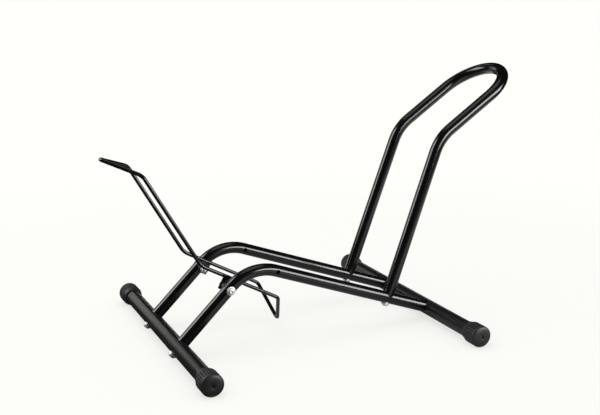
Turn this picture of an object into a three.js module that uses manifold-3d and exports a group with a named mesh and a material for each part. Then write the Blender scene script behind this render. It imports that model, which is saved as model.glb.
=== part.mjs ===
// Floor bike rack: two bent tube rails between two foot tubes, a leaning hoop that holds the
// wheel upright, and a bent wire cradle that tips as the wheel rolls in and locks round the tyre.
// Millimetres, +Z up. The wheel rolls in along +X, over the front foot and towards the hoop.
import * as THREE from 'three';
import { mergeVertices } from 'three/addons/utils/BufferGeometryUtils.js';
import Module from 'manifold-3d';

const wasm = await Module();
wasm.setup();

// ---- Driving dimensions ----------------------------------------------------------------
// Places on the rack are (x, z) from the front foot's axis until the last step lifts it.
const footSpan = 434; // between the two feet's axes
const footLength = 450; // over the rubber caps
const footRadius = 12.5; // 25 mm tube
const footWall = 1.5;
const railRadius = 9.5; // 19 mm tube
const railWall = 1.2;
const railY = 69; // each rail's axis from the middle plane
const crest = { x: 116.5, z: 114.5 }; // where a rail's two straights would meet
const railBend = 70; // bend radius on the axis
const pivotFromCrest = 49.5; // pivot hole, down the front straight
const spareFromCrest = 44.5; // second pivot hole, down the rear straight

const hoopFootFromRear = 84.5; // along the rail, from the rear foot's axis
const knee = { x: 448, y: 66, z: 283.5 }; // where a leg's and an arm's axes would meet
const kneeBend = 75;
const armAngle = THREE.MathUtils.degToRad(34.5); // arms above the level
const armLength = 113; // from the knee to the start of the top bend

const wireRadius = 3; // 6 mm rod
const wireY = 43; // the cradle's side wires from the middle plane
const frontTip = { x: -91, z: 281.5 };
const frontKnee = { x: -37, z: 259 };
const middleKnee = { x: 47.3, z: 113.5 };
const rearKnee = { x: 172.6, z: 46 };
const rearTip = { x: 189.3, z: -6 };
const wireBends = { frontKnee: 16, middleKnee: 30, rearKnee: 11, tip: 7 };

const capRadius = 17; // from the axis to the flat of a rib
const capLength = 36;
const capRibs = 24;
const boltRadius = 3; // M6 screws
const holeRadius = 3.35;
const gap = 0.3; // between pieces that touch

const tubeSides = 20;
const boreSides = 12;
const wireSides = 12;
const washerSides = 16;

// ---- Materials -------------------------------------------------------------------------
const enamel = new THREE.MeshStandardMaterial({ color: 0x151516, roughness: 0.25, metalness: 0.1 });
const footEnamel = new THREE.MeshStandardMaterial({ color: 0x1d1d1f, roughness: 0.4, metalness: 0.1 });
const rubber = new THREE.MeshStandardMaterial({ color: 0x2b2b2b, roughness: 0.75, metalness: 0 });
const zinc = new THREE.MeshStandardMaterial({ color: 0xc9cccf, roughness: 0.3, metalness: 1 });
const nylon = new THREE.MeshStandardMaterial({ color: 0x1a1a1c, roughness: 0.55, metalness: 0 });

// ---- Solids: join and cut --------------------------------------------------------------
function toSolid(geometry) {
  const bare = geometry.clone();
  bare.deleteAttribute('normal');
  bare.deleteAttribute('uv');
  const merged = mergeVertices(bare, 1e-4);
  const vertProperties = new Float32Array(merged.attributes.position.array);
  const triVerts = new Uint32Array(merged.index.array);
  return new wasm.Manifold(new wasm.Mesh({ numProp: 3, vertProperties, triVerts }));
}

function toGeometry(solid) {
  const mesh = solid.getMesh();
  const geometry = new THREE.BufferGeometry();
  geometry.setAttribute('position', new THREE.BufferAttribute(mesh.vertProperties, 3));
  geometry.setIndex(new THREE.BufferAttribute(mesh.triVerts, 1));
  geometry.computeVertexNormals();
  return geometry;
}

function cut(geometry, ...tools) {
  return toGeometry(tools.reduce((solid, tool) => solid.subtract(toSolid(tool)), toSolid(geometry)));
}

function join(...geometries) {
  return toGeometry(geometries.map(toSolid).reduce((whole, solid) => whole.add(solid)));
}

// ---- Bent tube and wire ----------------------------------------------------------------
// A path of straights and round bends. Its stations lie at the ends of each straight and
// evenly round each bend, so an extrusion with one step per station has no needless faces.
class BentPath extends THREE.Curve {
  constructor(corners, bends, turnStep = Math.PI / 12) {
    super();
    this.stations = [{ point: corners[0], tangent: direction(corners[0], corners[1]) }];
    for (let i = 1; i < corners.length - 1; i += 1) {
      const before = direction(corners[i - 1], corners[i]);
      const after = direction(corners[i], corners[i + 1]);
      this.addBend(corners[i], before, after, bends[i - 1], turnStep);
    }
    const last = corners.length - 1;
    this.addStation(corners[last], direction(corners[last - 1], corners[last]));
  }

  addBend(corner, before, after, radius, turnStep) {
    const turn = before.angleTo(after);
    const setback = radius * Math.tan(turn / 2);
    const axis = before.clone().cross(after).normalize();
    const start = corner.clone().addScaledVector(before, -setback);
    const inward = axis.clone().cross(before);
    const centre = start.clone().addScaledVector(inward, radius);
    const count = Math.max(2, Math.ceil(turn / turnStep));
    for (let k = 0; k <= count; k += 1) {
      const angle = (turn * k) / count;
      const arm = inward.clone().negate().applyAxisAngle(axis, angle);
      const point = centre.clone().addScaledVector(arm, radius);
      this.addStation(point, before.clone().applyAxisAngle(axis, angle));
    }
  }

  // Two bends that run into each other share one station.
  addStation(point, tangent) {
    const last = this.stations[this.stations.length - 1];
    if (last.point.distanceTo(point) > 1e-3) {
      this.stations.push({ point, tangent });
    }
  }

  get steps() {
    return this.stations.length - 1;
  }

  getPoint(t, target = new THREE.Vector3()) {
    return target.copy(this.stations[Math.round(t * this.steps)].point);
  }

  getPointAt(u, target) {
    return this.getPoint(u, target);
  }

  getTangentAt(u, target = new THREE.Vector3()) {
    return target.copy(this.stations[Math.round(u * this.steps)].tangent);
  }
}

function direction(from, to) {
  return to.clone().sub(from).normalize();
}

function ringOfPoints(radius, sides, turn = 0) {
  const points = [];
  for (let i = 0; i < sides; i += 1) {
    const angle = turn + (2 * Math.PI * i) / sides;
    points.push(new THREE.Vector2(radius * Math.cos(angle), radius * Math.sin(angle)));
  }
  return points;
}

function extrudeAlong(path, radius, sides, boreRadius = 0) {
  const section = new THREE.Shape(ringOfPoints(radius, sides));
  if (boreRadius > 0) {
    section.holes.push(new THREE.Path(ringOfPoints(boreRadius, boreSides)));
  }
  return new THREE.ExtrudeGeometry(section, { steps: path.steps, extrudePath: path });
}

// ---- Turned pieces and holes -----------------------------------------------------------
// A turned piece has its axis along +Z. Its outline is (radius, height) pairs that run up the
// outside, from the axis back to the axis, or round a ring back to the first pair.
function turned(outline, segments) {
  const points = outline.map(([radius, height]) => new THREE.Vector2(radius, height));
  return new THREE.LatheGeometry(points, segments).rotateX(Math.PI / 2);
}

function rod(radius, from, to, sides) {
  return new THREE.CylinderGeometry(radius, radius, to - from, sides)
    .rotateX(Math.PI / 2)
    .translate(0, 0, (from + to) / 2);
}

function washer(outer, bore, from, to, sides = washerSides) {
  return turned([[bore, from], [outer, from], [outer, to], [bore, to], [bore, from]], sides);
}

function alongLine(geometry, point, way) {
  const turn = new THREE.Quaternion().setFromUnitVectors(new THREE.Vector3(0, 0, 1), way);
  return geometry.applyQuaternion(turn).translate(point.x, point.y, point.z);
}

function placeOnLine(mesh, point, way) {
  mesh.quaternion.setFromUnitVectors(new THREE.Vector3(0, 0, 1), way);
  mesh.position.copy(point);
  return mesh;
}

function piece(name, geometry, material) {
  const mesh = new THREE.Mesh(geometry, material);
  mesh.name = name;
  return mesh;
}

const sides = [{ name: 'left', y: 1 }, { name: 'right', y: -1 }];
const at = (x, y, z) => new THREE.Vector3(x, y, z);

// ---- Places worked out from the driving dimensions --------------------------------------
const frontWay = direction(at(0, 0, 0), at(crest.x, 0, crest.z)); // up the front straight
const rearWay = direction(at(footSpan, 0, 0), at(crest.x, 0, crest.z)); // up the rear straight
const crestPoint = at(crest.x, 0, crest.z);
const pivot = crestPoint.clone().addScaledVector(frontWay, -pivotFromCrest);
const sparePivot = crestPoint.clone().addScaledVector(rearWay, -spareFromCrest);
const hoopFoot = at(footSpan, 0, 0).addScaledVector(rearWay, hoopFootFromRear);
const feet = [
  { name: 'front', x: 0, railWay: frontWay },
  { name: 'rear', x: footSpan, railWay: rearWay },
];

function hoopFootOn(side) {
  return at(hoopFoot.x, side.y * railY, hoopFoot.z);
}

function kneeOn(side) {
  return at(knee.x, side.y * knee.y, knee.z);
}

function legWay(side) {
  return direction(hoopFootOn(side), kneeOn(side));
}

// A direction on the rack, as seen from a piece whose own +Z has been turned to the axis.
function seenFrom(axis, way) {
  return way.clone().applyQuaternion(new THREE.Quaternion().setFromUnitVectors(axis, at(0, 0, 1)));
}

const frame = new THREE.Group();
const cradle = new THREE.Group();

// ---- Feet ------------------------------------------------------------------------------
// A foot is a straight tube drilled through for the two screws that hold the rails.
const capEndWall = 4.5;
const footTubeHalf = footLength / 2 - capEndWall;

function footTube(foot) {
  const tube = washer(footRadius, footRadius - footWall, -footTubeHalf, footTubeHalf, tubeSides);
  const drills = sides.map((side) => {
    const drill = rod(holeRadius, -2 * footRadius, 2 * footRadius, boreSides);
    return alongLine(drill, at(0, side.y * railY, 0), foot.railWay);
  });
  return cut(tube.rotateX(Math.PI / 2), ...drills);
}

for (const foot of feet) {
  const tube = piece(`${foot.name}_foot_tube`, footTube(foot), footEnamel);
  tube.position.set(foot.x, 0, 0);
  frame.add(tube);
}

// Rubber cap: a smooth neck, a flare, a barrel of flat-topped ribs, and a domed end with a
// moulding dimple. One rib faces straight down, so that the rack stands on four flats.
const neckRadius = 14.4;
const neckLength = 5;
const flareEnd = 9;
const ribDepth = 0.9;
const envelopeRadius = capRadius + 0.6; // clear of the ribs, it shapes only their ends
const dimple = { radius: 1.4, depth: 1.8 };

function ribbedOutline() {
  const pitch = (2 * Math.PI) / capRibs;
  const flatHalf = pitch * 0.3;
  const crown = capRadius / Math.cos(flatHalf);
  const points = [];
  for (let i = 0; i < capRibs; i += 1) {
    const middle = i * pitch - Math.PI / 2;
    const rib = [[-flatHalf, crown], [flatHalf, crown], [pitch / 2, capRadius - ribDepth]];
    for (const [turn, radius] of rib) {
      points.push(new THREE.Vector2(radius, 0).rotateAround(new THREE.Vector2(), middle + turn));
    }
  }
  return new THREE.Shape(points);
}

function cap() {
  const ribbed = new THREE.ExtrudeGeometry(ribbedOutline(), { depth: capLength, bevelEnabled: false });
  const envelope = turned([
    [0, neckLength], [neckRadius, neckLength], [envelopeRadius, flareEnd],
    [envelopeRadius, capLength - 4], [15.4, capLength - 1.5], [10, capLength - 0.3], [0, capLength],
  ], capRibs);
  const barrel = toGeometry(toSolid(ribbed).intersect(toSolid(envelope)));
  const neck = rod(neckRadius, 0, neckLength + 0.5, capRibs);
  const socket = rod(footRadius + gap, -1, capLength - capEndWall + gap, tubeSides);
  return cut(join(barrel, neck), socket, rod(dimple.radius, capLength - dimple.depth, capLength + 1, 8));
}

for (const foot of feet) {
  for (const side of sides) {
    const rubberCap = piece(`${foot.name}_${side.name}_cap`, cap(), rubber);
    rubberCap.position.set(foot.x, side.y * (footLength / 2 - capLength), 0);
    rubberCap.rotation.x = (-side.y * Math.PI) / 2;
    frame.add(rubberCap);
  }
}

// ---- Rails -----------------------------------------------------------------------------
// Each rail is one tube with one bend. Its ends are notched to sit on the feet, and it is
// drilled across for the pivot and its second setting, and upwards for the hoop's screw.
const notchSides = 24;

function tubeShape(radius, middle, way) {
  return alongLine(rod(radius + gap, -60, 60, notchSides), middle, way);
}

function footNotch(x) {
  return tubeShape(footRadius, at(x, 0, 0), at(0, 1, 0));
}

function rail(side) {
  const path = new BentPath([at(0, 0, 0), crestPoint, at(footSpan, 0, 0)], [railBend]);
  const tube = extrudeAlong(path, railRadius, tubeSides, railRadius - railWall);
  const drill = (place, way) => alongLine(rod(holeRadius, -20, 20, boreSides), place, way);
  return cut(
    tube,
    footNotch(0),
    footNotch(footSpan),
    drill(pivot, at(0, 1, 0)),
    drill(sparePivot, at(0, 1, 0)),
    drill(hoopFoot, legWay(side)),
  );
}

for (const side of sides) {
  const tube = piece(`rail_${side.name}`, rail(side), enamel);
  tube.position.y = side.y * railY;
  frame.add(tube);
}

// ---- Wheel hoop ------------------------------------------------------------------------
// One tube: a leg, a knee, an arm, the round top and back down. The legs' ends are notched
// over the rails. The hoop is a little narrower at the top, where its bend sets its width.
function wheelHoop() {
  const [left, right] = sides;
  const armWay = at(Math.cos(armAngle), 0, Math.sin(armAngle));
  const topCorner = (side) => kneeOn(side).addScaledVector(armWay, armLength + knee.y);
  const corners = [
    hoopFootOn(right), kneeOn(right), topCorner(right), topCorner(left), kneeOn(left), hoopFootOn(left),
  ];
  const path = new BentPath(corners, [kneeBend, knee.y, knee.y, kneeBend]);
  const tube = extrudeAlong(path, railRadius, tubeSides, railRadius - railWall);
  return cut(tube, ...sides.map((side) => tubeShape(railRadius, hoopFootOn(side), rearWay)));
}

frame.add(piece('wheel_hoop', wheelHoop(), enamel));

// ---- Screws, saddle washers and threaded inserts -----------------------------------------
// M6 flanged button-head screw. Its flange sits at height 0 and its shank runs up +Z.
const flangeRadius = 6.8;

function screw(length) {
  const head = turned([
    [0, -3.2], [3.2, -3.2], [4.6, -2.3], [5.25, -1.2], [flangeRadius, -0.7], [flangeRadius, 0], [0, 0],
  ], washerSides);
  const shank = turned([
    [0, -0.5], [boltRadius, -0.5], [boltRadius, length - 0.6], [boltRadius - 0.5, length], [0, length],
  ], boreSides);
  const hexagonSocket = rod(2.25, -4, -1.4, 6);
  return cut(join(head, shank), hexagonSocket);
}

// A saddle washer is flat under the screw's head and hollowed to fit the tube beneath.
function saddleWasher(tubeRadius, seat, tubeWay) {
  return cut(washer(6.4, holeRadius, -seat, 0), tubeShape(tubeRadius, at(0, 0, 0), tubeWay));
}

const insertRadius = railRadius - railWall - 2 * gap;
const insertLength = 14;
const insertSetback = 1.5; // inside the tube's notched end

function threadedInsert() {
  return washer(insertRadius, boltRadius + gap, 0, insertLength, boreSides);
}

// A tube end is drawn onto a cross tube by a screw from the cross tube's far side, through a
// saddle washer and both walls, into the insert in the tube's end.
function addScrewedJoint(names, middle, way, crossTube, screwLength) {
  const seat = crossTube.radius + crossTube.washer;
  const head = middle.clone().addScaledVector(way, -seat - gap);
  const inside = middle.clone().addScaledVector(way, crossTube.radius + insertSetback);
  const saddle = saddleWasher(crossTube.radius, seat, seenFrom(way, crossTube.way));
  frame.add(placeOnLine(piece(`${names}_screw`, screw(screwLength), zinc), head, way));
  frame.add(placeOnLine(piece(`${names}_saddle_washer`, saddle, zinc), middle, way));
  frame.add(placeOnLine(piece(`${names}_insert`, threadedInsert(), zinc), inside, way));
}

for (const foot of feet) {
  const crossTube = { radius: footRadius, washer: 1.8, way: at(0, 1, 0) };
  for (const side of sides) {
    const middle = at(foot.x, side.y * railY, 0);
    addScrewedJoint(`${foot.name}_${side.name}`, middle, foot.railWay, crossTube, 40);
  }
}

for (const side of sides) {
  const crossTube = { radius: railRadius, washer: 1.6, way: rearWay };
  addScrewedJoint(`hoop_${side.name}`, hoopFootOn(side), legWay(side), crossTube, 35);
}

// ---- Pivot: screw, spacer, lug, washer and lock nut --------------------------------------
// Along each pivot, heights are measured inwards from the rail's axis to the middle plane.
const lugThickness = 3;
const lugOuter = railY - wireY - wireRadius - gap - lugThickness; // its face towards the rail
const lugInner = lugOuter + lugThickness;
const washerThickness = 1.1;
const nutFrom = lugInner + gap + washerThickness + gap;
const nutBody = 4.4;
const nutHeight = 6.2;

function lockNut() {
  const hexagon = new THREE.ExtrudeGeometry(new THREE.Shape(ringOfPoints(5.77, 6)), {
    depth: nutBody,
    bevelEnabled: false,
  });
  const collar = turned([
    [0, nutBody - 0.5], [4.9, nutBody - 0.5], [4.9, nutHeight - 0.4], [4.5, nutHeight], [0, nutHeight],
  ], washerSides);
  const bore = rod(boltRadius + gap, -1, nutHeight + 1, boreSides);
  const insertSeat = rod(4.2, nutBody - 0.2, nutHeight + 1, washerSides);
  return cut(join(hexagon, collar), bore, insertSeat);
}

function nutInsert() {
  return washer(3.85, boltRadius + gap, nutBody + 0.1, nutHeight - 0.2, boreSides);
}

function pivotSpacer(inwards) {
  const tube = washer(6, holeRadius, 0, lugOuter - gap);
  return cut(tube, tubeShape(railRadius, at(0, 0, 0), seenFrom(inwards, frontWay)));
}

for (const side of sides) {
  const inwards = at(0, -side.y, 0);
  const pieces = [
    [`pivot_${side.name}_screw`, screw(40), zinc, -railRadius - gap],
    [`pivot_${side.name}_spacer`, pivotSpacer(inwards), nylon, 0],
    [`pivot_${side.name}_washer`, washer(6, holeRadius, 0, washerThickness), zinc, lugInner + gap],
    [`pivot_${side.name}_lock_nut`, lockNut(), zinc, nutFrom],
    [`pivot_${side.name}_nut_insert`, nutInsert(), nylon, nutFrom],
  ];
  for (const [name, geometry, material, height] of pieces) {
    const place = at(pivot.x, side.y * railY, pivot.z).addScaledVector(inwards, height);
    frame.add(placeOnLine(piece(name, geometry, material), place, inwards));
  }
}

// ---- Cradle ----------------------------------------------------------------------------
// One closed loop of rod: two side wires, with a V at each end that closes round the tyre.
// It is bent as two lengths, butt-welded end to end on the side wires beside the lugs.
const middleWay = direction(at(middleKnee.x, 0, middleKnee.z), at(rearKnee.x, 0, rearKnee.z));
const weldPlace = at(middleKnee.x, 0, middleKnee.z).addScaledVector(middleWay, 60);
const weldOverlap = 0.1;

function wireLength(end, endBends, overlap) {
  const onSide = (place, y) => at(place.x, y * wireY, place.z);
  const start = weldPlace.clone().addScaledVector(middleWay, overlap);
  const outward = [start, ...end.knees];
  const corners = [
    ...outward.map((place) => onSide(place, 1)),
    at(end.tip.x, 0, end.tip.z),
    ...outward.reverse().map((place) => onSide(place, -1)),
  ];
  const bends = [...endBends, wireBends.tip, ...endBends.slice().reverse()];
  return extrudeAlong(new BentPath(corners, bends, Math.PI / 9), wireRadius, wireSides);
}

const frontEnd = { knees: [middleKnee, frontKnee], tip: frontTip };
const rearEnd = { knees: [rearKnee], tip: rearTip };
const wireLoop = join(
  wireLength(frontEnd, [wireBends.middleKnee, wireBends.frontKnee], weldOverlap),
  wireLength(rearEnd, [wireBends.rearKnee], -weldOverlap),
);
cradle.add(piece('cradle_wire', wireLoop, enamel));

// A lug is a flat tab with a square lower end, welded to the outside of a side wire.
const lugHalfWidth = 7.5;
const lugBelow = 7.5; // from the pivot to the lower end
const lugUp = at(-middleWay.z, 0, middleWay.x); // from the pivot towards the wire
const wireHeight = weldPlace.clone().sub(pivot).dot(lugUp);

function lug() {
  const top = wireHeight + wireRadius - 0.5;
  const corners = [
    { across: 1, up: top, radius: 2, turn: 0 },
    { across: -1, up: top, radius: 2, turn: 0.5 * Math.PI },
    { across: -1, up: -lugBelow, radius: 1.2, turn: Math.PI },
    { across: 1, up: -lugBelow, radius: 1.2, turn: 1.5 * Math.PI },
  ];
  const outline = new THREE.Shape();
  for (const { across, up, radius, turn } of corners) {
    const middleX = across * (lugHalfWidth - radius);
    const middleY = up - Math.sign(up) * radius;
    outline.absarc(middleX, middleY, radius, turn, turn + Math.PI / 2, false);
  }
  outline.closePath();
  outline.holes.push(new THREE.Path(ringOfPoints(holeRadius, 16)));
  return new THREE.ExtrudeGeometry(outline, { depth: lugThickness, bevelEnabled: false, curveSegments: 4 });
}

const lugTurn = new THREE.Matrix4().makeBasis(middleWay, lugUp, at(0, -1, 0));
for (const side of sides) {
  const mesh = piece(`cradle_lug_${side.name}`, lug(), enamel);
  const upperFace = side.y > 0 ? railY - lugOuter : lugInner - railY;
  mesh.quaternion.setFromRotationMatrix(lugTurn);
  mesh.position.set(pivot.x, upperFace, pivot.z);
  cradle.add(mesh);
}

// ---- The rack --------------------------------------------------------------------------
// It is stood on the floor, with its origin beneath the middle of its length.
const rack = new THREE.Group();
rack.add(frame, cradle);
const extent = new THREE.Box3().setFromObject(rack, true);
rack.position.set(-(extent.min.x + extent.max.x) / 2, 0, capRadius);

export default rack;
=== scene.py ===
import math

import bpy
from mathutils import Matrix, Vector


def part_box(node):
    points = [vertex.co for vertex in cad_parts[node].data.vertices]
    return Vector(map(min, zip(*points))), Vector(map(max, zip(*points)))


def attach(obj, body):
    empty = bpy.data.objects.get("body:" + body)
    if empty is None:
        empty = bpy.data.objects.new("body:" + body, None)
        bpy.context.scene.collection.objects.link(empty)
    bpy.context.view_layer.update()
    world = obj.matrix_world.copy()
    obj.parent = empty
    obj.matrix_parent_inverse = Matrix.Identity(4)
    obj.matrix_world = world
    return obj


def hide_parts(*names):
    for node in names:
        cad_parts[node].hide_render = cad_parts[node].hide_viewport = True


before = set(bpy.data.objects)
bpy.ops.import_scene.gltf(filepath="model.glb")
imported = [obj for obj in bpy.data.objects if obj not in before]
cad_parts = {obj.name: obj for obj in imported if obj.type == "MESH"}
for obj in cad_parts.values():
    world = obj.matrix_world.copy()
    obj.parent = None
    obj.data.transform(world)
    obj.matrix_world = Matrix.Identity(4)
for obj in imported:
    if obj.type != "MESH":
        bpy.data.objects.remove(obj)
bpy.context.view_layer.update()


# ---- Camera and studio --------------------------------------------------------------------
# The camera stands in front of the rack, a little above it. The rack is on a wide pale floor,
# under a soft light that throws its shadow. Its gloss shows black cloth with openings to the
# white room, two cards of painted shadow on the floor, and two oblong lights, which draw
# the bright lines along the tubes.
camera_data = bpy.data.cameras.new("camera")
camera_data.sensor_width = 36.0
camera_data.lens = 57.24
camera_data.clip_end = 200.0
camera = bpy.data.objects.new("camera", camera_data)
bpy.context.scene.collection.objects.link(camera)
bpy.context.scene.camera = camera
camera_turn = Matrix.Rotation(math.radians(-24.401), 4, "Z")
camera_tilt = Matrix.Rotation(math.radians(90 - 13.213), 4, "X")
camera_roll = Matrix.Rotation(math.radians(-0.179), 4, "Z")
camera.matrix_world = camera_turn @ camera_tilt @ camera_roll
camera.location = (-0.6440, -1.3594, 0.5442)
bpy.context.scene.view_settings.view_transform = "Standard"


class Field:
    """A value that varies over a surface. Arithmetic on it adds the nodes that work it out."""

    def __init__(self, finish, socket):
        self.finish = finish
        self.socket = socket

    def __add__(self, other):
        return self.finish.maths("ADD", self, other)

    def __sub__(self, other):
        return self.finish.maths("SUBTRACT", self, other)

    def __mul__(self, other):
        return self.finish.maths("MULTIPLY", self, other)

    __radd__ = __add__
    __rmul__ = __mul__

    def between(self, first, second):
        """One colour where the value is 0, the other where it is 1, and a mix of them between."""
        sockets = {0: self, 6: first, 7: second}
        return self.finish.node("Mix", {"data_type": "RGBA"}, sockets, output=2)


class Finish:
    """The nodes of a material or of the world."""

    def __init__(self, owner):
        owner.use_nodes = True
        self.owner = owner
        self.tree = owner.node_tree

    def node(self, kind, settings=None, inputs=None, output=0):
        """Adds a node with its settings and inputs, and gives one of its outputs."""
        added = self.tree.nodes.new("ShaderNode" + kind)
        for name, value in (settings or {}).items():
            setattr(added, name, value)
        self.feed(added, inputs or {})
        return Field(self, added.outputs[output])

    def maths(self, operation, first, second):
        """One step of arithmetic on two values, each a Field or a plain number."""
        return self.node("Math", {"operation": operation}, {0: first, 1: second})

    def feed(self, shader, inputs):
        """Sets a node's inputs: a Field is linked, and anything else is a plain value."""
        for name, value in inputs.items():
            if isinstance(value, Field):
                self.tree.links.new(value.socket, shader.inputs[name])
            else:
                shader.inputs[name].default_value = value


def background_rays(finish):
    """1 for the rays that show the background: seen straight, in gloss, or through glass."""
    shown = 0
    for ray in ("Camera", "Glossy", "Transmission"):
        rays = finish.node("LightPath", output=f"Is {ray} Ray")
        shown = finish.maths("MAXIMUM", rays, shown)
    return shown


world = bpy.data.worlds.new("studio")
bpy.context.scene.world = world
world.cycles.sampling_method = "NONE"  # so that the cloth hides the white room from the gloss
studio = Finish(world)
white = (1.0, 1.0, 0.965, 1)
room = (0.78, 0.78, 0.78, 1)
room_colour = background_rays(studio).between(room, white)
studio.feed(studio.tree.nodes["Background"], {"Color": room_colour})

floor_radius = 60
bpy.ops.object.select_all(action="DESELECT")
bpy.ops.mesh.primitive_circle_add(
    vertices=96, radius=floor_radius, fill_type="NGON", location=(0, 0, 0)
)
floor = bpy.context.object
floor.name = "studio_floor"
floor_finish = Finish(bpy.data.materials.new("studio_floor"))
paper = floor_finish.tree.nodes["Principled BSDF"]
pale_matt = {"Base Color": (0.93, 0.93, 0.9, 1), "Roughness": 0.9, "Specular IOR Level": 0.0}
floor_finish.feed(paper, pale_matt)
floor_place = floor_finish.node("TexCoord", output="Object")
distance = floor_finish.node(
    "VectorMath", {"operation": "LENGTH"}, {0: floor_place}, output="Value"
)
# Where it is seen the paper is mostly plain white, and wholly so beyond the rack's shadow.
fade = {"Value": distance, "From Min": 0.6, "From Max": 1.4, "To Min": 0.7}
far_off = floor_finish.node("MapRange", {"interpolation_type": "SMOOTHSTEP"}, fade)
glow = floor_finish.node("Emission", inputs={"Color": white})
paper_surface = Field(floor_finish, paper.outputs[0])
lit_floor = {0: far_off * background_rays(floor_finish), 1: paper_surface, 2: glow}
floor_surface = floor_finish.node("MixShader", inputs=lit_floor)
floor_finish.feed(floor_finish.tree.nodes["Material Output"], {"Surface": floor_surface})
floor.data.materials.append(floor_finish.owner)


# The cloth is left open where the gloss tubes show the white back, a pale wall and the ceiling.
# Each opening has its azimuth from and to, and its elevation from and to, in degrees.
cloth_openings = (
    (2, 30, 0, 29),
    (-4, 14, 42, 54),
    (-40, -15, 10, 17),
    (-180, 180, 70, 90),
)
black = 0.004


def hang_cloth(cloth, name, shade=black):
    """Cuts the openings and all that is below the floor, and leaves the rest to the gloss."""
    bpy.ops.object.mode_set(mode="EDIT")
    bpy.ops.mesh.select_all(action="DESELECT")
    bpy.ops.mesh.select_mode(type="FACE")
    bpy.ops.object.mode_set(mode="OBJECT")
    for face in cloth.data.polygons:
        azimuth = math.degrees(math.atan2(-face.center.x, face.center.y))
        elevation = math.degrees(math.asin(face.center.normalized().z))
        face.select = face.center.z < 0
        for azimuth_from, azimuth_to, low, high in cloth_openings:
            if azimuth_from <= azimuth <= azimuth_to and low <= elevation <= high:
                face.select = True
    bpy.ops.object.mode_set(mode="EDIT")
    bpy.ops.mesh.delete(type="FACE")
    bpy.ops.mesh.select_mode(type="VERT")
    bpy.ops.object.mode_set(mode="OBJECT")
    for rays in ("camera", "diffuse", "transmission", "volume_scatter", "shadow"):
        setattr(cloth, f"visible_{rays}", False)
    matt = Finish(bpy.data.materials.new(name))
    matt_look = {"Base Color": (shade, shade, shade, 1), "Roughness": 0.9}
    matt.feed(matt.tree.nodes["Principled BSDF"], matt_look)
    cloth.name = name
    cloth.data.materials.append(matt.owner)


cloth_radius = 3.3
bpy.ops.object.select_all(action="DESELECT")
bpy.ops.mesh.primitive_uv_sphere_add(
    segments=90, ring_count=90, radius=cloth_radius, location=(0, 0, 0)
)
hang_cloth(bpy.context.object, "black_cloth_round")

# The cloth on the floor runs from a clear space round the rack to the foot of the other.
clear_radius = 1.0
cloth_above_floor = 0.003
bpy.ops.object.select_all(action="DESELECT")
bpy.ops.mesh.primitive_circle_add(vertices=90, radius=clear_radius, location=(0, 0, 0))
bpy.ops.object.mode_set(mode="EDIT")
bpy.ops.mesh.extrude_region_move()
spread = cloth_radius / clear_radius
bpy.ops.transform.resize(value=(spread, spread, 1), center_override=(0, 0, 0))
bpy.ops.object.mode_set(mode="OBJECT")
bpy.context.object.location.z = cloth_above_floor
hang_cloth(bpy.context.object, "black_cloth_below")

# Two cards on the floor, seen only in the gloss, are painted shadow: a black one at the rack's
# front, where the feet's shadow would fall, and a grey one for the shade beneath the rest of it.
card_edge = -0.17
for name, shade, low, high in (
    ("painted_shadow_card", black, (-1.0, -1.0), (card_edge, 1.0)),
    ("painted_shade_card", 0.45, (card_edge, -0.3), (0.45, 0.3)),
):
    bpy.ops.object.select_all(action="DESELECT")
    bpy.ops.mesh.primitive_plane_add(size=1, location=(0, 0, 0))
    card = bpy.context.object
    card.scale = (high[0] - low[0], high[1] - low[1], 1)
    card.location = ((low[0] + high[0]) / 2, (low[1] + high[1]) / 2, cloth_above_floor)
    hang_cloth(card, name, shade)


rack_middle = Vector((0, 0, 0.2))


def add_light(name, place, size, power, seen_in_gloss):
    """An oblong light that faces the rack, for the gloss alone or for all but the gloss."""
    light_data = bpy.data.lights.new(name, "AREA")
    light_data.shape = "RECTANGLE"
    light_data.size, light_data.size_y = size
    light_data.energy = power
    light = bpy.data.objects.new(name, light_data)
    bpy.context.scene.collection.objects.link(light)
    light.location = place
    way = Vector(place) - rack_middle
    light.rotation_euler = way.to_track_quat("Z", "Y").to_euler()
    light.visible_camera = False
    light.visible_glossy = seen_in_gloss
    light.visible_diffuse = not seen_in_gloss


add_light("overhead_light", (-0.47, 0.27, 2.74), (2.4, 2.4), 23, seen_in_gloss=False)
add_light("front_line_light", (0.83, -1.03, 0.55), (1.4, 0.48), 25, seen_in_gloss=True)
add_light("back_left_line_light", (-1.0, 0.47, 0.87), (0.7, 0.9), 13, seen_in_gloss=True)


# ---- Foot tubes ---------------------------------------------------------------------------
# Two straight lengths of 25 mm steel tube lie across the rack and carry it. Each is drilled
# through twice for the screws that hold the rails, and wears a satin black powder coat.
MM = 0.001
foot_low, foot_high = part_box("front_foot_tube")
rear_low, rear_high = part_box("rear_foot_tube")
front_axis = Vector(((foot_low.x + foot_high.x) / 2, 0, (foot_low.z + foot_high.z) / 2))
rear_axis = Vector(((rear_low.x + rear_high.x) / 2, 0, front_axis.z))
foot_radius = 12.5 * MM
foot_wall = 1.5 * MM
gap = 0.3 * MM  # between pieces that touch
hole_radius = 3.35 * MM  # clears an M6 screw
hole_sides = 32
rail_y = 69 * MM
crest = front_axis + Vector((116.5, 0, 114.5)) * MM  # where a rail's two straights would meet
front_way = (crest - front_axis).normalized()
rear_way = (crest - rear_axis).normalized()


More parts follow.
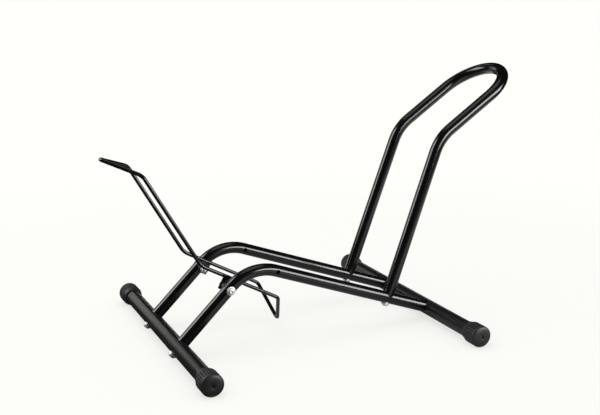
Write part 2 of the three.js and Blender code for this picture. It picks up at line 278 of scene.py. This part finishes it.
def powder_coat(name, colour, roughness, peel_depth, sheen):
    """Black powder coat, with a faint orange peel, uneven gloss and a trace of dust."""
    coat = Finish(bpy.data.materials.new(name))
    place = coat.node("TexCoord", output="Object")
    drift = coat.node("TexNoise", inputs={"Vector": place, "Scale": 16.0, "Detail": 3.0})
    grain = coat.node("TexNoise", inputs={"Vector": place, "Scale": 1400.0, "Detail": 2.0})
    peel = coat.node("TexNoise", inputs={"Vector": place, "Scale": 450.0, "Detail": 1.0})
    dust_from = 1.05  # the sum of both noises at which the dust starts to show
    dust_lightens = 2.2
    dust = coat.node("Clamp", inputs={"Value": (drift + grain - dust_from) * 1.5})
    dusty = tuple(dust_lightens * part for part in colour[:3]) + (1,)
    bumps = {"Strength": 0.5, "Distance": peel_depth, "Height": peel + 0.2 * grain}
    relief = coat.node("Bump", inputs=bumps)
    coat.feed(
        coat.tree.nodes["Principled BSDF"],
        {
            "Base Color": dust.between(colour, dusty),
            "Roughness": roughness + 0.12 * (drift - 0.5) + 0.04 * grain,
            "Specular IOR Level": sheen,
            "Normal": relief,
        },
    )
    return coat.owner


satin_coat = powder_coat("satin_coat", (0.007, 0.007, 0.0075, 1), 0.22, 0.01 * MM, sheen=0.42)


def spin_to(way):
    """The rotation that turns +Z to a direction."""
    return way.to_track_quat("Z", "Y").to_euler()


straight_step = 10 * MM


def run_straight(way):
    """Runs the selected ring out, in short steps that keep the shading even near cuts."""
    steps = math.ceil(way.length / straight_step)
    for _ in range(steps):
        bpy.ops.mesh.extrude_region_move(TRANSFORM_OT_translate={"value": way / steps})


bend_step = math.radians(4)
least_run = 0.01 * MM


def bent_tube(name, radius, corners, bends=(), sides=64):
    """A ring of edges is run out straight, then swung round each bend, as on a tube bender."""
    ways = [(after - before).normalized() for before, after in zip(corners, corners[1:])]
    bpy.ops.object.select_all(action="DESELECT")
    bpy.ops.mesh.primitive_circle_add(
        vertices=sides, radius=radius, location=corners[0], rotation=spin_to(ways[0])
    )
    bpy.ops.object.transform_apply(location=True, rotation=True, scale=True)
    tube = bpy.context.object
    tube.name = name
    bpy.ops.object.mode_set(mode="EDIT")
    reached = corners[0]
    for corner, before, after, bend in zip(corners[1:], ways, ways[1:], bends):
        angle = before.angle(after)
        setback = bend * math.tan(angle / 2)
        start = corner - setback * before
        if (start - reached).length > least_run:
            run_straight(start - reached)
        axis = before.cross(after).normalized()
        steps = math.ceil(angle / bend_step)
        centre = start + bend * axis.cross(before)
        bpy.ops.mesh.spin(steps=steps, angle=angle, center=centre, axis=-axis)
        reached = corner + setback * after
    run_straight(corners[-1] - reached)
    bpy.ops.mesh.select_all(action="SELECT")
    bpy.ops.mesh.remove_doubles(threshold=least_run)
    bpy.ops.mesh.normals_make_consistent(inside=False)
    bpy.ops.object.mode_set(mode="OBJECT")
    return tube


def apply_modifier(piece, kind, **settings):
    """Adds a modifier to a piece and makes its result the piece's own mesh."""
    modifier = piece.modifiers.new(kind.lower(), kind)
    for name, value in settings.items():
        setattr(modifier, name, value)
    bpy.context.view_layer.objects.active = piece
    bpy.ops.object.modifier_apply(modifier=modifier.name)


def add_rod(radius, middle, way, length, sides=64):
    """A plain rod about its middle, along a direction."""
    bpy.ops.object.select_all(action="DESELECT")
    bpy.ops.mesh.primitive_cylinder_add(
        vertices=sides, radius=radius, depth=length, location=middle, rotation=spin_to(way)
    )
    bpy.ops.object.transform_apply(location=True, rotation=True, scale=True)
    return bpy.context.object


def combine(piece, other, operation):
    """Cuts the other shape out of a piece, keeps what they share, or joins them."""
    apply_modifier(piece, "BOOLEAN", object=other, operation=operation, solver="EXACT")
    bpy.data.objects.remove(other)


def cut_rod(piece, radius, middle, way, length=80 * MM, sides=64):
    """Cuts the shape of a rod out of a piece: a hole, a notch or, with 6 sides, a socket."""
    combine(piece, add_rod(radius, middle, way, length, sides), "DIFFERENCE")


def ease_edges(piece, width, material):
    """Rounds the sharp edges a little, shades the rest smooth, and coats the piece."""
    limit = {"limit_method": "ANGLE", "angle_limit": math.radians(40)}
    apply_modifier(piece, "BEVEL", width=width, segments=2, use_clamp_overlap=True, **limit)
    bpy.ops.object.select_all(action="DESELECT")
    piece.select_set(True)
    bpy.ops.object.shade_smooth_by_angle(angle=math.radians(38))
    piece.data.materials.clear()
    piece.data.materials.append(material)


for name, axis in (("front", front_axis), ("rear", rear_axis)):
    half = Vector((0, foot_high.y, 0))
    foot = bent_tube(f"{name}_foot", foot_radius, [axis - half, axis + half])
    apply_modifier(foot, "SOLIDIFY", thickness=foot_wall, offset=-1)
    way = front_way if name == "front" else rear_way
    for y in (-rail_y, rail_y):
        cut_rod(foot, hole_radius, axis + Vector((0, y, 0)), way, sides=hole_sides)
    ease_edges(foot, 0.2 * MM, satin_coat)
    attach(foot, "frame")
    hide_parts(f"{name}_foot_tube")


# ---- Rubber caps --------------------------------------------------------------------------
# A moulded rubber cap is pushed over each end of both foot tubes. It has a smooth neck, a
# flare, a barrel of lengthwise ribs and a domed end with the mould's dimple in the middle.
rubber = Finish(bpy.data.materials.new("cap_rubber"))
rubber_place = rubber.node("TexCoord", output="Object")
rubber_cloud = {"Vector": rubber_place, "Scale": 60.0, "Detail": 4.0}
rubber_drift = rubber.node("TexNoise", inputs=rubber_cloud)
mould_grain = {"Vector": rubber_place, "Scale": 2200.0, "Detail": 2.0}
rubber_grain = rubber.node("TexNoise", inputs=mould_grain)
groove_shade_and_matt = rubber.node("Attribute", {"attribute_name": "groove"}, output="Fac")
rib_black = rubber_drift.between((0.010, 0.010, 0.0105, 1), (0.018, 0.018, 0.0185, 1))
# painted shade: the darker colour given to the groove floors and the dimple
painted_groove_shade = (0.003, 0.003, 0.003, 1)
grain_bumps = {"Strength": 0.6, "Distance": 0.06 * MM, "Height": rubber_grain}
rubber.feed(
    rubber.tree.nodes["Principled BSDF"],
    {
        "Base Color": groove_shade_and_matt.between(rib_black, painted_groove_shade),
        "Roughness": 0.36 + 0.2 * rubber_drift + 0.4 * groove_shade_and_matt,
        "Specular IOR Level": 0.4,
        "Normal": rubber.node("Bump", inputs=grain_bumps),
    },
)
cap_rubber = rubber.owner

cap_radius = 17 * MM
cap_length = 36 * MM
cap_ribs = 24
rib_steps = 8  # edges round the cap for each rib
cap_sides = cap_ribs * rib_steps
rib_depth = 0.9 * MM
groove_shoulder = 0.55 * rib_depth  # how deep a groove is one edge to each side of its middle
groove_from, groove_to = 8.5 * MM, 30 * MM
barrel_from = 9.5 * MM
cap_end = 225 * MM  # from the middle plane


def turned(name, outline, sides):
    """A disc is pulled up an outline of (radius, height), and drawn in or let out as it goes."""
    radius, height = outline[0]
    bpy.ops.object.select_all(action="DESELECT")
    bpy.ops.mesh.primitive_circle_add(
        vertices=sides, radius=radius, fill_type="NGON", location=(0, 0, height)
    )
    bpy.ops.object.transform_apply(location=True, rotation=True, scale=True)
    piece = bpy.context.object
    piece.name = name
    bpy.ops.object.mode_set(mode="EDIT")
    for next_radius, next_height in outline[1:]:
        rise = {"value": (0, 0, next_height - height)}
        bpy.ops.mesh.extrude_region_move(TRANSFORM_OT_translate=rise)
        shrink = next_radius / radius
        bpy.ops.transform.resize(value=(shrink, shrink, 1), center_override=(0, 0, next_height))
        radius, height = next_radius, next_height
    bpy.ops.mesh.select_all(action="SELECT")
    bpy.ops.mesh.normals_make_consistent(inside=False)
    bpy.ops.object.mode_set(mode="OBJECT")
    return piece


def place_copy(piece, name, matrix):
    """A copy with a mesh of its own, set in its place."""
    bpy.ops.object.select_all(action="DESELECT")
    piece.select_set(True)
    bpy.context.view_layer.objects.active = piece
    bpy.ops.object.duplicate()
    copy = bpy.context.object
    copy.name = name
    copy.matrix_world = matrix
    bpy.ops.object.transform_apply(location=True, rotation=True, scale=True)
    return copy


def place_on_frame(model, name, node, matrix):
    """Sets a copy of a small part on the frame, in place of its plain solid."""
    piece = place_copy(model, name, matrix)
    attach(piece, "frame")
    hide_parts(node)


dome = []
dome_from, dome_height = 31 * MM, 5 * MM
dome_fullness = 0.55  # 1 is round, and less is flatter in the middle
dome_steps = 7
for step in range(dome_steps):
    angle = math.radians(90) * step / dome_steps
    spread = math.cos(angle) ** dome_fullness
    dome.append((cap_radius * spread, dome_from + dome_height * math.sin(angle)))
neck = [(14.0 * MM, 0.0), (14.4 * MM, 0.4 * MM), (14.4 * MM, 4.6 * MM), (14.9 * MM, 5.4 * MM)]
flare = [(16.2 * MM, 7.8 * MM), (16.8 * MM, 8.8 * MM)]
barrel = [(cap_radius, barrel_from), (cap_radius, 20 * MM), (cap_radius, 28 * MM)]
dimple_radius = 2 * MM
dimple = [(2.3 * MM, cap_length), (dimple_radius, 35.8 * MM), (1.7 * MM, 34 * MM)]
cap_outline = neck + flare + barrel + dome + dimple
cap_model = turned("cap_model", cap_outline, cap_sides)
bpy.ops.object.mode_set(mode="EDIT")
for offset, depth in ((0, rib_depth), (1, groove_shoulder), (-1, groove_shoulder)):
    bpy.ops.mesh.select_all(action="DESELECT")
    bpy.ops.object.mode_set(mode="OBJECT")
    for vertex in cap_model.data.vertices:
        turn = math.atan2(vertex.co.y, vertex.co.x) / math.tau * cap_sides
        in_groove = round(turn - offset) % rib_steps == rib_steps // 2
        vertex.select = in_groove and groove_from < vertex.co.z < groove_to
    bpy.ops.object.mode_set(mode="EDIT")
    shrink = 1 - depth / cap_radius
    bpy.ops.transform.resize(value=(shrink, shrink, 1), center_override=(0, 0, 0))
bpy.ops.object.mode_set(mode="OBJECT")
# Painted shade darkens the grooves and the dimple, which are also made more matt.
groove = cap_model.data.attributes.new("groove", "FLOAT", "POINT")
for vertex in cap_model.data.vertices:
    from_axis = vertex.co.xy.length
    if groove_from < vertex.co.z < groove_to:
        groove.data[vertex.index].value = min(1, (cap_radius - from_axis) / rib_depth)
    elif vertex.co.z > dome_from and from_axis < dimple_radius + 0.1 * MM:
        groove.data[vertex.index].value = 1
socket_middle = Vector((0, 0, 15.3 * MM))
cut_rod(cap_model, foot_radius + gap, socket_middle, Vector((0, 0, 1)), length=33 * MM)
ease_edges(cap_model, 0.15 * MM, cap_rubber)

for name, axis in (("front", front_axis), ("rear", rear_axis)):
    for side, y in (("left", 1), ("right", -1)):
        mouth = axis + Vector((0, y * (cap_end - cap_length), 0))
        spot = Matrix.Translation(mouth) @ Matrix.Rotation(math.radians(-90 * y), 4, "X")
        cap_name, node = f"{name}_{side}_foot_cap", f"{name}_{side}_cap"
        place_on_frame(cap_model, cap_name, node, spot)
bpy.data.objects.remove(cap_model)


# ---- Rails --------------------------------------------------------------------------------
# Each rail is a 19 mm steel tube with one bend. Its ends are notched to sit on the foot tubes,
# and it is drilled across for the pivot and for a second setting of the cradle. Gloss black.
gloss_coat = powder_coat("gloss_coat", (0.0035, 0.0035, 0.0038, 1), 0.16, 0.002 * MM, sheen=0.5)

rail_radius = 9.5 * MM
rail_wall = 1.2 * MM
rail_bend = 70 * MM
seat_sides = 96  # edges round a notch's seat
across = Vector((0, 1, 0))
pivot_from_crest = 49.5 * MM
spare_from_crest = 44.5 * MM
hoop_from_rear = 84.5 * MM
pivot = crest - pivot_from_crest * front_way
spare_pivot = crest - spare_from_crest * rear_way
hoop_foot = rear_axis + hoop_from_rear * rear_way
knee = front_axis + Vector((448, 66, 283.5)) * MM  # where a hoop leg's and arm's axes would meet


def on_side(place, y):
    """The same place, that far from the middle plane."""
    return Vector((place.x, y, place.z))


for side, y in (("left", 1), ("right", -1)):
    corners = [on_side(place, y * rail_y) for place in (front_axis, crest, rear_axis)]
    rail = bent_tube(f"{side}_rail", rail_radius, corners, [rail_bend])
    apply_modifier(rail, "SOLIDIFY", thickness=rail_wall, offset=-1)
    for axis in (front_axis, rear_axis):
        cut_rod(rail, foot_radius + gap, on_side(axis, y * rail_y), across, sides=seat_sides)
    leg_foot = on_side(hoop_foot, y * rail_y)
    leg_way = (on_side(knee, y * knee.y) - leg_foot).normalized()
    for hole, way in ((pivot, across), (spare_pivot, across), (leg_foot, leg_way)):
        cut_rod(rail, hole_radius, on_side(hole, y * rail_y), way, 40 * MM, hole_sides)
    ease_edges(rail, 0.25 * MM, gloss_coat)
    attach(rail, "frame")
    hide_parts(f"rail_{side}")


# ---- Wheel hoop ---------------------------------------------------------------------------
# One 19 mm tube rises from the left rail, leans back at a knee, turns round the wheel and comes
# down to the right rail. Both ends are notched over the rails. Gloss black.
knee_bend = 75 * MM
arm_length = 113 * MM  # from the knee to the start of the top bend
arm_angle = math.radians(34.5)
arm_way = Vector((math.cos(arm_angle), 0, math.sin(arm_angle)))
top = knee + (arm_length + knee.y) * arm_way
hoop_corners = []
for y in (1, -1):
    leg_foot = on_side(hoop_foot, y * rail_y)
    one_side = [leg_foot, on_side(knee, y * knee.y), on_side(top, y * knee.y)]
    hoop_corners += one_side if y > 0 else one_side[::-1]
hoop = bent_tube("hoop", rail_radius, hoop_corners, [knee_bend, knee.y, knee.y, knee_bend])
apply_modifier(hoop, "SOLIDIFY", thickness=rail_wall, offset=-1)
ear_gap = 0.05 * MM  # the thin ears of the notches close on the rails
for y in (1, -1):
    leg_foot = on_side(hoop_foot, y * rail_y)
    cut_rod(hoop, rail_radius + ear_gap, leg_foot, rear_way, sides=seat_sides)
ease_edges(hoop, 0.25 * MM, gloss_coat)
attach(hoop, "frame")
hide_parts("wheel_hoop")


# ---- Screws, saddle washers and inserts ---------------------------------------------------
# Flanged button-head M6 screws with a hexagon socket, zinc plated. Six draw the notched tube
# ends onto the tubes they sit on, through saddle washers, into threaded inserts inside.
zinc = Finish(bpy.data.materials.new("zinc_plate"))
zinc_place = zinc.node("TexCoord", output="Object")
zinc_cloud = zinc.node("TexNoise", inputs={"Vector": zinc_place, "Scale": 260.0, "Detail": 4.0})
zinc_grain = zinc.node("TexNoise", inputs={"Vector": zinc_place, "Scale": 3000.0, "Detail": 2.0})
zinc_bumps = {"Strength": 0.3, "Distance": 0.02 * MM, "Height": zinc_grain}
zinc.feed(
    zinc.tree.nodes["Principled BSDF"],
    {
        "Base Color": zinc_cloud.between((0.76, 0.77, 0.79, 1), (0.88, 0.87, 0.84, 1)),
        "Metallic": 0.85,
        "Roughness": 0.42 + 0.16 * zinc_cloud,
        "Normal": zinc.node("Bump", inputs=zinc_bumps),
    },
)
zinc_plate = zinc.owner

up = Vector((0, 0, 1))
turned_sides = 64
saddle_sides = 128  # edges round a seat cut in a small piece


def screw_model(length):
    """A screw whose flange sits at height 0 and whose shank runs up Z. Its sizes are in mm."""
    button = [(1.2, -3.3), (2.4, -3.25), (3.5, -2.95), (4.4, -2.4), (5.0, -1.7), (5.3, -1.0)]
    flange = [(5.7, -0.75), (6.6, -0.65), (6.8, -0.5), (6.8, 0.0)]
    shank = [(3.0, 0.0), (3.0, length - 0.6), (2.5, length)]
    outline = [(radius * MM, height * MM) for radius, height in button + flange + shank]
    model = turned("screw_model", outline, turned_sides)
    cut_rod(model, 2.3 * MM, Vector((0, 0, -3 * MM)), up, 3.2 * MM, sides=6)  # the socket
    ease_edges(model, 0.12 * MM, zinc_plate)
    return model


def washer_model(outer, bore, start, end):
    """A ring from one height to another, with its bore cut through."""
    model = turned("washer_model", [(outer, start), (outer, end)], turned_sides)
    cut_rod(model, bore, Vector((0, 0, (start + end) / 2)), up, 2 * (end - start))
    return model


def set_on_line(middle, way):
    """The place of a piece whose Z runs along a direction."""
    return Matrix.Translation(middle) @ way.to_track_quat("Z", "Y").to_matrix().to_4x4()


def coat_node(name, material):
    """Gives a hidden piece of the frame its finish."""
    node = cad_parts[name]
    if not node.material_slots:
        node.data.materials.append(material)
    for holder in node.material_slots:
        holder.material = material


def saddle_model(cross_radius, cross_way, seat):
    """A washer round a screw on the Z axis, hollowed to sit on a tube that runs across it."""
    rim = -0.7 * cross_radius  # how far up the cross tube the washer's edge reaches
    model = washer_model(6.4 * MM, hole_radius, -seat, rim)
    cut_rod(model, cross_radius + gap, Vector(), cross_way, sides=saddle_sides)
    ease_edges(model, 0.15 * MM, zinc_plate)
    return model


def add_joint(name, spot, screw, saddle, seat):
    """Sets a screw and its saddle washer, and coats the insert that the screw pulls on."""
    back = Matrix.Translation(Vector((0, 0, -seat - gap)))
    place_on_frame(screw, f"{name}_screw_zinc", f"{name}_screw", spot @ back)
    place_on_frame(saddle, f"{name}_saddle", f"{name}_saddle_washer", spot)
    coat_node(f"{name}_insert", zinc_plate)


long_screw = screw_model(40)
short_screw = screw_model(35)
foot_seat = foot_radius + 1.8 * MM  # from a foot's axis to the screw's side of its washer
foot_run = Vector((1, 0, 0))  # the foot's direction, seen from a screw that runs along Z
foot_saddle = saddle_model(foot_radius, foot_run, foot_seat)
for name, axis, way in (("front", front_axis, front_way), ("rear", rear_axis, rear_way)):
    for side, y in (("left", 1), ("right", -1)):
        spot = set_on_line(on_side(axis, y * rail_y), way)
        add_joint(f"{name}_{side}", spot, long_screw, foot_saddle, foot_seat)
bpy.data.objects.remove(foot_saddle)

# The hoop's legs lean on the rails, so the saddles under them are a left and a right one.
leg_seat = rail_radius + 1.6 * MM
for side, y in (("left", 1), ("right", -1)):
    leg_foot = on_side(hoop_foot, y * rail_y)
    leg_way = (on_side(knee, y * knee.y) - leg_foot).normalized()
    spot = set_on_line(leg_foot, leg_way)
    leg_saddle = saddle_model(rail_radius, spot.to_3x3().inverted() @ rear_way, leg_seat)
    add_joint(f"hoop_{side}", spot, short_screw, leg_saddle, leg_seat)
    bpy.data.objects.remove(leg_saddle)
bpy.data.objects.remove(short_screw)


# ---- Pivots -------------------------------------------------------------------------------
# The cradle hangs on two M6 screws put through the rails from outside. On each are a nylon
# spacer saddled to the rail, the cradle's lug, a plain washer, and a nylon-ringed lock nut.
nylon = Finish(bpy.data.materials.new("black_nylon"))
nylon_place = nylon.node("TexCoord", output="Object")
nylon_cloud = {"Vector": nylon_place, "Scale": 300.0, "Detail": 3.0}
nylon_drift = nylon.node("TexNoise", inputs=nylon_cloud)
nylon_bumps = {"Strength": 0.3, "Distance": 0.03 * MM, "Height": nylon_drift}
nylon.feed(
    nylon.tree.nodes["Principled BSDF"],
    {
        "Base Color": nylon_drift.between((0.014, 0.014, 0.015, 1), (0.024, 0.024, 0.025, 1)),
        "Roughness": 0.4 + 0.15 * nylon_drift,
        "Normal": nylon.node("Bump", inputs=nylon_bumps),
    },
)
black_nylon = nylon.owner

wire_y = 43 * MM
wire_radius = 3 * MM
lug_thickness = 3 * MM
lug_outer = rail_y - wire_y - wire_radius - gap - lug_thickness  # from the rail's axis, inwards
lug_inner = lug_outer + lug_thickness
washer_from = lug_inner + gap
washer_to = washer_from + 1.1 * MM
nut_from = washer_to + gap
nut_body = 4.4 * MM
nut_height = 6.2 * MM

# The lock nut is a hexagon with turned corners and a thin collar, and holds its nylon ring.
nut_outline = [(5.3 * MM, 0), (5.8 * MM, 0.35 * MM), (5.8 * MM, 3.7 * MM), (5.0 * MM, nut_body)]
nut = turned("nut_model", nut_outline, turned_sides)
combine(nut, add_rod(5.77 * MM, Vector((0, 0, 2 * MM)), up, 12 * MM, sides=6), "INTERSECT")
collar_outline = [
    (4.9 * MM, nut_body - 0.5 * MM), (4.9 * MM, nut_height - 0.6 * MM),
    (4.7 * MM, nut_height - 0.2 * MM), (4.3 * MM, nut_height),
]
combine(nut, turned("collar", collar_outline, turned_sides), "UNION")
cut_rod(nut, 3.3 * MM, Vector(), up, sides=hole_sides)
cut_rod(nut, 4.1 * MM, Vector((0, 0, nut_height)), up, 3.6 * MM)
ease_edges(nut, 0.12 * MM, zinc_plate)

plain_washer = washer_model(6 * MM, hole_radius, washer_from, washer_to)
ease_edges(plain_washer, 0.15 * MM, zinc_plate)

for side, y in (("left", 1), ("right", -1)):
    spot = set_on_line(on_side(pivot, y * rail_y), Vector((0, -y, 0)))
    spacer = washer_model(6 * MM, hole_radius, 0, lug_outer - gap)
    saddle_way = spot.to_3x3().inverted() @ front_way
    cut_rod(spacer, rail_radius + gap, Vector(), saddle_way, sides=saddle_sides)
    ease_edges(spacer, 0.15 * MM, black_nylon)
    for model, new_name, node, slot, height in (
        (long_screw, "screw_zinc", "screw", "zinc_plate", -rail_radius - gap),
        (spacer, "spacer_nylon", "spacer", "black_nylon", 0),
        (plain_washer, "plain_washer", "washer", "zinc_plate", 0),
        (nut, "nut", "lock_nut", "zinc_plate", nut_from),
    ):
        place = spot @ Matrix.Translation(Vector((0, 0, height)))
        place_on_frame(model, f"pivot_{side}_{new_name}", f"pivot_{side}_{node}", place)
    bpy.data.objects.remove(spacer)
    coat_node(f"pivot_{side}_nut_insert", black_nylon)
for model in (long_screw, plain_washer, nut):
    bpy.data.objects.remove(model)


# ---- Cradle -------------------------------------------------------------------------------
# One closed loop of 6 mm steel rod, bent to two side wires with a V at each end that closes
# round the tyre. Flat lugs are welded outside the side wires. Gloss black over the welds.
wire_corners = {
    name: front_axis + Vector((x, 0, z)) * MM
    for name, x, z in (
        ("front_tip", -91, 281.5), ("front_knee", -37, 259), ("middle_knee", 47.3, 113.5),
        ("rear_knee", 172.6, 46), ("rear_tip", 189.3, -6),
    )
}
middle_way = (wire_corners["rear_knee"] - wire_corners["middle_knee"]).normalized()
weld_place = wire_corners["middle_knee"] + 60 * MM * middle_way
# Each bend on the way round: its corner, its side (left is 1) and its radius in mm.
wire_route = (
    ("middle_knee", 1, 30),
    ("front_knee", 1, 16),
    ("front_tip", 0, 7),
    ("front_knee", -1, 16),
    ("middle_knee", -1, 30),
    ("rear_knee", -1, 11),
    ("rear_tip", 0, 7),
    ("rear_knee", 1, 11),
)
corners = [on_side(wire_corners[name], y * wire_y) for name, y, _ in wire_route]
wire_bends = [bend * MM for _, _, bend in wire_route]
ends = [on_side(weld_place, wire_y)]
wire = bent_tube("cradle_rod", wire_radius, ends + corners + ends, wire_bends, sides=32)
ease_edges(wire, 0.1 * MM, gloss_coat)
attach(wire, "cradle")
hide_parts("cradle_wire")

lug_half = 7.5 * MM
lug_below = 7.5 * MM  # from the pivot to the lower end
lug_up = Vector((-middle_way.z, 0, middle_way.x))  # from the pivot towards the wire
wire_height = (weld_place - pivot).dot(lug_up)
lug_top = wire_height + wire_radius - 0.5 * MM

# A lug is a flat plate with a square lower end and a hole for the screw.
lug_middle = (lug_top - lug_below) / 2
bpy.ops.object.select_all(action="DESELECT")
bpy.ops.mesh.primitive_cube_add(size=1, location=(0, lug_middle, lug_thickness / 2))
lug = bpy.context.object
lug.scale = (2 * lug_half, lug_top + lug_below, lug_thickness)
bpy.ops.object.transform_apply(location=True, rotation=True, scale=True)
for at_bottom, radius, segments in ((True, 1.2 * MM, 5), (False, 2 * MM, 6)):
    for edge in lug.data.edges:
        first, second = (lug.data.vertices[index].co for index in edge.vertices)
        upright = abs(first.z - second.z) > lug_thickness / 2
        edge.select = upright and (first.y < lug_middle) == at_bottom
    bpy.ops.object.mode_set(mode="EDIT")
    bpy.ops.mesh.select_mode(type="EDGE")
    bpy.ops.mesh.bevel(offset=radius, segments=segments, affect="EDGES")
    bpy.ops.mesh.select_all(action="DESELECT")
    bpy.ops.mesh.select_mode(type="VERT")
    bpy.ops.object.mode_set(mode="OBJECT")
cut_rod(lug, hole_radius, Vector(), up, sides=48)
ease_edges(lug, 0.3 * MM, gloss_coat)

# A bead of weld is a row of overlapping drops, fused into one.
weld_length, weld_radius = 11 * MM, 1.5 * MM
weld_drops = 9
drops = []
for number in range(weld_drops):
    bpy.ops.object.select_all(action="DESELECT")
    along = (number / (weld_drops - 1) - 0.5) * weld_length
    bpy.ops.mesh.primitive_uv_sphere_add(
        segments=20, ring_count=12, radius=weld_radius, location=(along, 0, 0)
    )
    drops.append(bpy.context.object)
for drop in drops:
    drop.select_set(True)
bpy.ops.object.join()
bead = bpy.context.object
bpy.ops.object.transform_apply(location=True, rotation=True, scale=True)
apply_modifier(bead, "REMESH", mode="VOXEL", voxel_size=0.25 * MM)
apply_modifier(bead, "SMOOTH", factor=0.5, iterations=3)
ease_edges(bead, 0.05 * MM, gloss_coat)

weld_from_wire = 2 * MM  # above or below the wire's axis
plate_turn = Matrix((middle_way, lug_up, Vector((0, -1, 0)))).transposed().to_4x4()
for side, y in (("left", 1), ("right", -1)):
    upper_face = rail_y - lug_outer if y > 0 else lug_inner - rail_y
    spot = Matrix.Translation(on_side(pivot, upper_face)) @ plate_turn
    plate = place_copy(lug, f"cradle_{side}_lug_plate", spot)
    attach(plate, "cradle")
    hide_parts(f"cradle_lug_{side}")
    for edge_name, height in (("lower", -1), ("upper", 1)):
        beside = pivot + lug_up * (wire_height + height * weld_from_wire)
        weld_y = y * (wire_y + wire_radius + 0.1 * MM)
        spot = Matrix.Translation(on_side(beside, weld_y)) @ plate_turn
        weld = place_copy(bead, f"cradle_{side}_{edge_name}_weld", spot)
        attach(weld, "cradle")
for model in (lug, bead):
    bpy.data.objects.remove(model)
